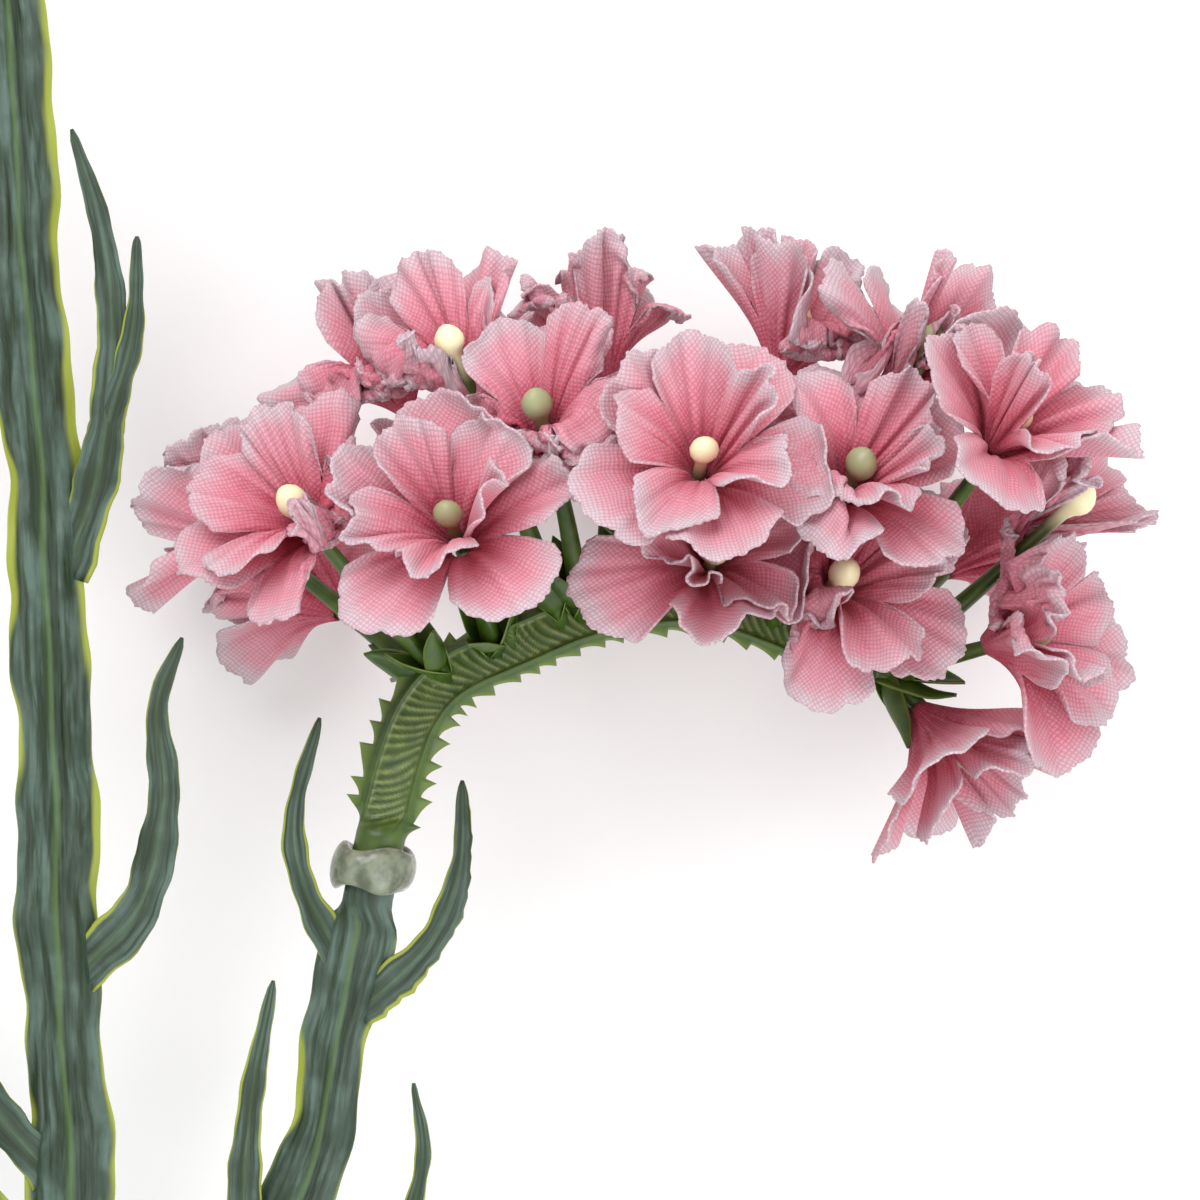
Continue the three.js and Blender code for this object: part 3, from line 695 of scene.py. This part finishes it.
def add_bract(skin, peg, turn, rng):
    """A small pointed leaf that stands beside a peg's foot."""
    first, second = turned(peg["axis"])
    out = math.cos(turn) * first + math.sin(turn) * second
    base = peg["foot"] + peg["axis"] * 0.6
    reach = BRACT_LENGTH * rng.uniform(0.85, 1.15)
    points = [
        base,
        base + peg["axis"] * reach * 0.4 + out * 1.4,
        base + peg["axis"] * reach * 0.8 + out * 2.3,
        base + peg["axis"] * reach * 1.1 + out * rng.uniform(2.4, 3.6),
    ]
    route = Route(points)
    u = np.linspace(0, 1, 14)
    point, tangent, _, _ = route.at(u)
    side = unit(np.cross(tangent, out[None]))
    front = np.cross(side, tangent)
    width = (1.35 * np.sin(math.pi * np.clip(0.22 + 0.78 * u, 0, 1)) ** 0.8 + 0.06)[:, None]
    angle = np.linspace(0, 2 * math.pi, 13)[:-1]
    c, s = np.cos(angle)[None], np.sin(angle)[None]
    x = width * c
    z = 0.16 * s - 0.5 * width * c**2
    rings = point[:, None] + x[..., None] * side[:, None] + z[..., None] * front[:, None]
    # The whole bract gets a little painted shade.
    skin.add(rings, edge=np.abs(c) + 0 * u[:, None], raised=0.0, sunk=0.25, cream=0.0)


def build_comb(name, spine, pegs, seed):
    """The comb: spine, pegs, beads and bracts."""
    rng = np.random.RandomState(seed)
    skin = Skin()
    add_comb_spine(skin, spine, seed)
    for k, peg in enumerate(pegs):
        add_peg(skin, peg, rng)
        for j in range(BRACTS):
            add_bract(skin, peg, 2.1 * j + k, rng)
    skin.build(f"{name}_comb_moulding", COMB, [f"{name}_comb"])


def build_collar(name, stem, seed):
    """An uneven blob of glue squeezed out round the joint."""
    end, tangent, side, front = (v[0] for v in stem.at(1.0))
    rng = np.random.RandomState(seed)
    centre = end + tangent * GAP / 2
    turn = np.linspace(0, 2 * math.pi, 65)[:-1]
    section = np.linspace(0, 2 * math.pi, 25)[:-1]
    bulge = 1 + 0.22 * np.sin(turn + rng.uniform(0, 6)) + 0.14 * np.sin(2 * turn + rng.uniform(0, 6))
    tilt = 0.28 * np.sin(turn + rng.uniform(0, 6))
    height = COLLAR_HEIGHT / 2 * (1 + 0.16 * np.sin(3 * turn + rng.uniform(0, 6)))
    middle = NECK_RADIUS + 0.25 + 0.5 * COLLAR_WALL * bulge
    r = middle[:, None] + (0.5 * COLLAR_WALL * bulge + 0.35)[:, None] * np.cos(section)[None]
    h = tilt[:, None] + height[:, None] * np.sin(section)[None]
    out = np.cos(turn)[:, None] * side + np.sin(turn)[:, None] * front
    rings = centre + r[..., None] * out[:, None] + h[..., None] * tangent
    rings = np.concatenate([rings, rings[:1]])
    skin = Skin()
    skin.add(rings, caps=False)
    piece = skin.build(f"{name}_glue", GLUE, [f"{name}_glue_collar"])
    weld = piece.modifiers.new("weld", "WELD")
    weld.merge_threshold = 1e-6


# ---------------------------------------------------------------- florets

LOBES = 5
ROUND, OUT = 240, 28  # points round a corolla's mesh, and from its throat to its rim
HOLE = 0.9  # radius of the punched hole that the peg goes through
# A corolla layer: flat radius, and slopes from the axis at the throat and at the rim, upright and wide open.
OUTER = {"size": 13.8, "start": (22, 28), "finish": (62, 92)}
INNER = {"size": 12.4, "start": (13, 18), "finish": (42, 68)}

# The fabric is settled on a coarse polar grid of its flat cut before the fine mesh is drawn on it.
RINGS, SPOKES = 15, 60
LOBE_SPOKES = SPOKES // LOBES
SETTLE_STEPS = 130
STEP_LIMIT = 0.4  # furthest that a point moves in one step
FULLNESS = 0.68  # how much of the flat circumference is left as waves after heat forming
SLIT_ROOT = 6.0  # how far out the slits between lobes begin
LIFTS = [-8, 4, 14, 26, 42]  # how far each lobe stands up over the floret's own slope, in degrees
RIM_WAVES = ((4, 0.4), (6, 0.6), (9, 0.8), (13, 0.35))  # heat-formed waves round the rim: count, height


def profile(flat, start, finish):
    """How far out and up the fabric gets along its flat radius, as it flares from start to finish."""
    slope = start + (finish - start) * smooth(flat / FLORET_RADIUS, 0.0, 0.72)
    step = np.diff(flat, axis=0, prepend=flat[:1])
    return 0.8 + np.cumsum(step * np.sin(slope), axis=0), np.cumsum(step * np.cos(slope), axis=0), slope


SLOPE_REACH = 0.3  # how far either way the funnel's slope is measured
PLAIN_FLAT = np.linspace(HOLE, 19.0, 120)
PLAIN_OUT, PLAIN_RISE, _ = profile(PLAIN_FLAT, math.radians(26), math.radians(86))


def funnel(points, throat, axis):
    """Height over a floret's plain open funnel, the way that height grows, and the distance from its axis."""
    away = points - throat
    height = np.sum(away * axis, axis=-1)
    flat = away - height[..., None] * axis
    reach = np.linalg.norm(flat, axis=-1)
    plain = np.interp(reach, PLAIN_OUT, PLAIN_RISE)
    outer_rise = np.interp(reach + SLOPE_REACH, PLAIN_OUT, PLAIN_RISE)
    steep = (outer_rise - np.interp(reach - SLOPE_REACH, PLAIN_OUT, PLAIN_RISE)) / (2 * SLOPE_REACH)
    grade = axis - steep[..., None] * flat / np.maximum(reach, 0.5)[..., None]
    return height - plain, grade / np.sum(grade**2, axis=-1)[..., None], reach


def fold_up(points, near, rise_share):
    """Moves fabric back from its neighbours' hearts, and up by a share of that."""
    for normal, offset, rise in near:
        d = np.sum(points * normal, axis=-1) - offset
        push = 0.9 * np.logaddexp(0, -(d - 0.6) / 0.9)
        points = points + push[..., None] * (normal + rise_share * rise)
    return points


def duck_under(points, above, clearance):
    """Presses fabric under the open corollas that lie over it, but leaves the floret's own heart open."""
    for throat, axis, heart, gap in above:
        over, way, reach = funnel(points, throat, axis)
        towards = np.sum((points - heart) * gap, axis=-1) / np.sum(gap**2)
        fade = smooth(towards, 0.2, 0.45) * (1 - smooth(reach, 13.0, 16.0))
        push = np.clip(over + clearance, 0, 6) * fade
        points = points - push[..., None] * way
    return points


def formed(floret):
    """A corolla layer as it leaves the forming press, on the coarse grid."""
    rng, peg, form = floret["rng"], floret["peg"], floret["form"]
    open_share = float(smooth(peg["axis"][2], -0.3, 0.75))
    start, finish = (math.radians(np.interp(open_share, [0, 1], form[k])) for k in ("start", "finish"))
    turn = (np.arange(SPOKES) + 0.5) * 2 * math.pi / SPOKES
    lobe = (turn / (2 * math.pi) * LOBES) % 1.0
    which = np.arange(SPOKES) // LOBE_SPOKES
    flat = np.linspace(HOLE, form["size"], RINGS)[:, None]
    lifted = np.radians(rng.choice(LIFTS, LOBES, replace=False) * rng.uniform(0.8, 1.1, LOBES))
    bias = lifted[which] + np.radians(rng.uniform(-12, 12, LOBES))[which] * (2 * lobe - 1)
    out, rise, slope = profile(flat + 0 * turn, start, finish - bias[None])
    waves = sum(h * np.sin(k * turn + rng.uniform(0, 6.3)) for k, h in RIM_WAVES)
    cup = rng.uniform(-1.4, 1.8, LOBES)[which] * ((2 * lobe - 1) ** 2 - 0.33)
    swell = (waves - cup)[None] * (flat / FLORET_RADIUS) ** 1.5
    wide, high = out + swell * np.cos(slope), rise - swell * np.sin(slope) + floret["layer"]
    first, second = turned(peg["axis"])
    angle = turn[None] + floret["roll"] + 0.06 * np.sin(2 * turn + rng.uniform(0, 6)) * flat / FLORET_RADIUS
    around = np.cos(angle)[..., None] * first + np.sin(angle)[..., None] * second
    points = peg["throat"] + wide[..., None] * around + high[..., None] * peg["axis"]
    return points, 2 * math.pi / SPOKES * (FULLNESS * flat + (1 - FULLNESS) * out.mean(axis=1, keepdims=True))


def normals(grid):
    """Which way a grid faces: up its floret's axis."""
    around = np.roll(grid, -1, axis=1) - np.roll(grid, 1, axis=1)
    return unit(np.cross(np.gradient(grid, axis=0), around))


def settle(floret):
    """Lets a formed corolla give way to its neighbours while its threads keep their length."""
    size, layer = floret["form"]["size"], floret["layer"]
    shape, hoop = formed(floret)
    shape = duck_under(fold_up(shape, floret["near"], 0.7), floret["above"], floret["under"])
    points = shape.copy()
    flat = np.linspace(HOLE, size, RINGS)[:, None]
    spoke = (size - HOLE) / (RINGS - 1)
    slant = np.hypot(spoke, (hoop[1:] + hoop[:-1]) / 2)
    loose = 1 - 0.97 * smooth(flat, SLIT_ROOT - 0.7, SLIT_ROOT + 0.7)
    column = np.arange(SPOKES) % LOBE_SPOKES
    to_next = np.where(column == LOBE_SPOKES - 1, loose, 1.0)
    to_last = np.where(column == 0, loose, 1.0)
    links = (
        (0, spoke, 1, 1.0), (1, hoop, 0, to_next), (1, slant, 1, to_next[1:]), (-1, slant, 1, to_last[1:]),
    )
    throat, axis = floret["peg"]["throat"], floret["peg"]["axis"]
    for step in range(SETTLE_STEPS):
        soft = 0.1 if step < SETTLE_STEPS * 0.8 else 0.05
        after = np.roll(points, -1, axis=1) - points
        bend = after * to_next[..., None] - np.roll(after, 1, axis=1) * to_last[..., None]
        move = 0.03 * (shape - points) + 0.5 * soft * bend
        move[1:-1] += soft * ((points[2:] + points[:-2]) / 2 - points[1:-1])
        for lag, rest, low, strength in links:
            gap = np.roll(points[low:], -lag, axis=1) - points[: RINGS - low]
            length = np.linalg.norm(gap, axis=-1)
            pull = (0.12 * strength * (1 - rest / np.maximum(length, 0.05)))[..., None] * gap
            move[: RINGS - low] += pull
            move[low:] -= np.roll(pull, lag, axis=1)
        move[:2] *= 0.1
        far = np.maximum(np.linalg.norm(move, axis=-1), 1e-9)
        points = points + move * np.minimum(1, STEP_LIMIT / far)[..., None]
        for normal, offset, _ in floret["near"]:
            d = np.minimum(points @ normal - offset, 0)
            points = points - 0.5 * d[..., None] * normal
        points = duck_under(points, floret["above"], floret["under"])
        if layer:
            gap = np.sum((points - floret["bed"]) * floret["bed_normal"], axis=-1)
            near_bed = smooth(gap, -3.0, -2.0)
            points = points + (np.maximum(0.7 - gap, 0) * 0.3 * near_bed)[..., None] * floret["bed_normal"]
        else:
            over, way, _ = funnel(points, throat, axis)
            points = points + (np.maximum(-0.8 - over, 0) * 0.4)[..., None] * way
        points[..., 2] = np.maximum(points[..., 2], -AXIS_HEIGHT + 0.4)
    return points


def weights(t):
    """The four shares of a smooth curve through evenly spaced points."""
    return (
        0.5 * (-t + 2 * t**2 - t**3),
        0.5 * (2 - 5 * t**2 + 3 * t**3),
        0.5 * (t + 4 * t**2 - 3 * t**3),
        0.5 * (-(t**2) + t**3),
    )


def between(grid, row, column):
    """The smooth surface through a grid, round one way, at fractional rows and columns."""
    rows, columns = grid.shape[:2]
    padded = np.concatenate([2 * grid[:1] - grid[1:2], grid, 2 * grid[-1:] - grid[-2:-1]])
    i = np.clip(row.astype(int), 0, rows - 2)
    j = np.floor(column).astype(int)
    total = 0
    for a, u in enumerate(weights(row - i)):
        for b, v in enumerate(weights(column - j)):
            total = total + (u * v)[..., None] * padded[i + a, (j + b - 1) % columns]
    return total


def cut_outline(rng, size):
    """A die-cut corolla's rim: five round lobes with slits between them and a scalloped, frayed edge."""
    turn = np.arange(ROUND) * 2 * math.pi / ROUND
    lobe = (turn / (2 * math.pi) * LOBES) % 1.0
    which = (turn / (2 * math.pi) * LOBES).astype(int) % LOBES
    slit = np.minimum(lobe, 1 - lobe)
    away = (lobe - 0.5) * 2 * math.pi / LOBES
    middle, lobe_radius = 0.53, 0.47
    lobed = middle * np.cos(away) + np.sqrt(lobe_radius**2 - (middle * np.sin(away)) ** 2)
    root = SLIT_ROOT / size
    lobed = root + (lobed - root) * (1 - np.exp(-((slit / 0.022) ** 2)))
    length = rng.uniform(0.92, 1.0, LOBES)[which]
    ripples = rng.uniform(2.4, 4.2, LOBES)[which]
    scallop = np.abs(np.sin(math.pi * (ripples * lobe + rng.uniform(0, 1, LOBES)[which]))) ** 0.6
    fray = rng.uniform(-1, 1, ROUND) * 0.012
    return turn, lobe, which, size * lobed * (0.945 + 0.045 * scallop + fray) * length


def corolla_points(floret):
    """The fine mesh of one corolla layer, with its flat cut and how far its dye has paled."""
    rng, size = floret["rng"], floret["form"]["size"]
    turn, lobe, which, rim = cut_outline(rng, size)
    flat = HOLE + (rim[None] - HOLE) * np.linspace(0, 1, OUT)[:, None] ** 0.92
    column = turn[None] / (2 * math.pi) * SPOKES - 0.5 + 0 * flat
    points = between(floret["grid"], (flat - HOLE) / (size - HOLE) * (RINGS - 1), column)
    share = flat / size
    crinkle = sum(0.06 * np.sin(k * turn + rng.uniform(0, 6.3) + 2.5 * share) for k in (19, 27, 38))
    middle = np.abs(lobe - 0.5)
    crease = -0.3 * np.exp(-((middle / 0.05) ** 2)) + 0.15 * np.exp(-(((middle - 0.2) / 0.08) ** 2))
    lift = crinkle * share + crease[None] * smooth(share, 0.1, 0.4) * (1.1 - share)
    around = (np.roll(points, -1, axis=1) - np.roll(points, 1, axis=1)) / 2
    points = points + lift[..., None] * unit(np.cross(around, np.gradient(points, axis=0)))
    cut = np.stack([flat * np.cos(turn), flat * np.sin(turn)], axis=-1)
    to_side = np.minimum(lobe, 1 - lobe)[None] * 2 * math.pi / LOBES * flat
    to_side = to_side + 9 * (1 - smooth(flat, 6.0, 9.0))
    to_rim = np.minimum(rim[None] - flat, to_side)
    pale = 0.62 * smooth(share, 0.12, 0.95) + rng.uniform(-0.1, 0.16, LOBES)[which][None] * share
    pale = pale + 0.34 * (1 - smooth(to_rim, 0.0, 2.6)) * smooth(share, 0.3, 0.6)
    return points, cut, np.clip(pale + 0.04 * np.sin(7 * turn + rng.uniform(0, 6))[None] * share, 0, 1)


def build_corolla(floret):
    """One layer of a floret as a closed sheet of fabric."""
    points, cut, dye = corolla_points(floret)
    along = np.gradient(points, axis=0)
    around = (np.roll(points, -1, axis=1) - np.roll(points, 1, axis=1)) / 2
    normal = unit(np.cross(around, along))
    inside = points + normal * FABRIC / 2
    outside = points - normal * FABRIC / 2
    rings = np.concatenate([inside, outside[::-1]])
    skin = Skin()
    both = np.concatenate([dye, dye[::-1]])
    skin.add(rings, caps=False, dye=both)
    last = (2 * OUT - 1) * ROUND
    skin.faces += [[last + j, last + (j + 1) % ROUND, (j + 1) % ROUND, j] for j in range(ROUND)]
    piece = skin.build(floret["name"], PETAL, floret["replaces"])
    lay_cloth(piece.data, cut)


def lay_cloth(mesh, cut):
    """Two maps: Cloth, where the weave lies, and OFBake, with each side of the fabric on its own half."""
    flat = cut.reshape(-1, 2) / CUT_SIZE + 0.5
    back = cut[::-1].reshape(-1, 2) / CUT_SIZE + 0.5
    lay = np.concatenate([flat, back])
    corner = np.zeros(len(mesh.loops), int)
    mesh.loops.foreach_get("vertex_index", corner)
    highest, lowest = corner.reshape(-1, 4).max(axis=1), corner.reshape(-1, 4).min(axis=1)
    side = np.repeat(highest >= len(flat), 4)
    mesh.uv_layers.new(name="Cloth").data.foreach_set("uv", lay[corner].astype(np.float32).reshape(-1))
    sheet = lay[corner] * np.array([0.5, 1.0])
    sheet[side, 0] += 0.5
    rim = np.repeat((highest >= len(flat)) & (lowest < len(flat)), 4)
    sheet[rim] = 0.25 + (sheet[rim] - 0.25) * 1e-3
    mesh.uv_layers.new(name="OFBake").data.foreach_set("uv", sheet.astype(np.float32).reshape(-1))


def neighbours(k, pegs):
    """The folds that a floret's neighbours force on it, and the florets that lie over it."""
    near, above = [], []
    heart = pegs[k]["throat"] + pegs[k]["axis"] * FLORET_THROAT
    for j, other in enumerate(pegs):
        gap = heart - (other["throat"] + other["axis"] * FLORET_THROAT)
        distance = np.linalg.norm(gap)
        if j == k or distance > 2.0 * FLORET_RADIUS:
            continue
        normal = gap / distance
        on_top = pegs[k]["bead"][2] > other["bead"][2]
        room = max(0.76 * distance, 8.0) if on_top else max(0.64 * distance, 7.0)
        near.append((normal, normal @ heart - room, unit(pegs[k]["axis"] + 0.5 * other["axis"])))
        if not on_top:
            above.append((other["throat"], other["axis"], heart, -gap))
    return near, above


def build_floret(name, comb, k, pegs, seed):
    """A floret's two corolla layers, one inside the other."""
    rng = np.random.RandomState(seed)
    near, above = neighbours(k, pegs)
    outer = {
        "name": f"{name}_outer", "replaces": [name], "comb": comb, "peg": pegs[k],
        "near": near, "above": above, "rng": rng,
        "form": OUTER, "layer": 0, "under": 1.5, "roll": rng.uniform(0, 2 * math.pi),
    }
    inner = dict(outer, name=f"{name}_inner", replaces=[], form=INNER, layer=1, under=0.8)
    inner["roll"] += math.pi / LOBES
    outer["grid"] = settle(outer)
    row = np.linspace(0, (INNER["size"] - HOLE) / (OUTER["size"] - HOLE) * (RINGS - 1), RINGS)[:, None]
    column = np.arange(SPOKES)[None] + LOBE_SPOKES / 2 + 0 * row
    inner["bed"] = between(outer["grid"], row + 0 * column, column)
    inner["bed_normal"] = normals(inner["bed"])
    inner["grid"] = settle(inner)
    build_corolla(outer)
    build_corolla(inner)


HEADS = [
    ("right", right_route, 1, FULL_SET, 101),
    ("top", main_route, -1, SMALL_SET, 211),
    ("left", left_route, -1, SMALL_SET, 307),
]
for name, stem, side, florets, seed in HEADS:
    spine = spine_of(stem, side)
    pegs = pegs_of(spine, side, florets)
    build_comb(name, spine, pegs, seed)
    build_collar(name, stem, seed + 1)
    for k in range(len(pegs)):
        build_floret(f"{name}_floret_{k + 1:02d}", f"{name}_comb", k, pegs, seed + 10 * k + 5)

# ---------------------------------------------------------------- studio

CAMERA_HEIGHT = 0.6  # metres over the stem's axis
LENS = 225.0  # on a 36 mm sensor


def area_lamp(name, place, aim, size, power):
    """A square soft box."""
    data = bpy.data.lights.new(name, "AREA")
    data.size, data.energy = size, power
    lamp = bpy.data.objects.new(name, data)
    lamp.location = place
    lamp.rotation_euler = (Vector(aim) - Vector(place)).to_track_quat("-Z", "Y").to_euler()
    bpy.context.scene.collection.objects.link(lamp)


def studio():
    """A pale floor, soft lamps and a camera straight above the right-hand head."""
    scene = bpy.context.scene
    n = Nodes("pale_floor")
    n.set(Base_Color=(0.93, 0.93, 0.93, 1), Roughness=0.9)
    mesh = bpy.data.meshes.new("floor")
    mesh.from_pydata([(-3, -3, 0), (3, -3, 0), (3, 3, 0), (-3, 3, 0)], [], [(0, 1, 2, 3)])
    mesh.materials.append(n.material)
    floor = bpy.data.objects.new("floor", mesh)
    scene.collection.objects.link(floor)
    world = bpy.data.worlds.new("studio")
    world.use_nodes = True
    world.node_tree.nodes["Background"].inputs["Color"].default_value = (1, 1, 1, 1)
    world.node_tree.nodes["Background"].inputs["Strength"].default_value = 0.85
    scene.world = world
    x, y, z = SHIFT * 0.001
    area_lamp("key", (x - 0.25, y + 0.55, 0.6), (x, y, z), 0.6, 5.6)
    area_lamp("fill", (x + 0.4, y - 0.35, 0.6), (x, y, z), 0.7, 3.6)
    data = bpy.data.cameras.new("camera")
    data.lens, data.sensor_width = LENS, 36.0
    camera = bpy.data.objects.new("camera", data)
    camera.location = (x, y, z + CAMERA_HEIGHT)
    scene.collection.objects.link(camera)
    scene.camera = camera
    scene.view_settings.view_transform = "Standard"


studio()
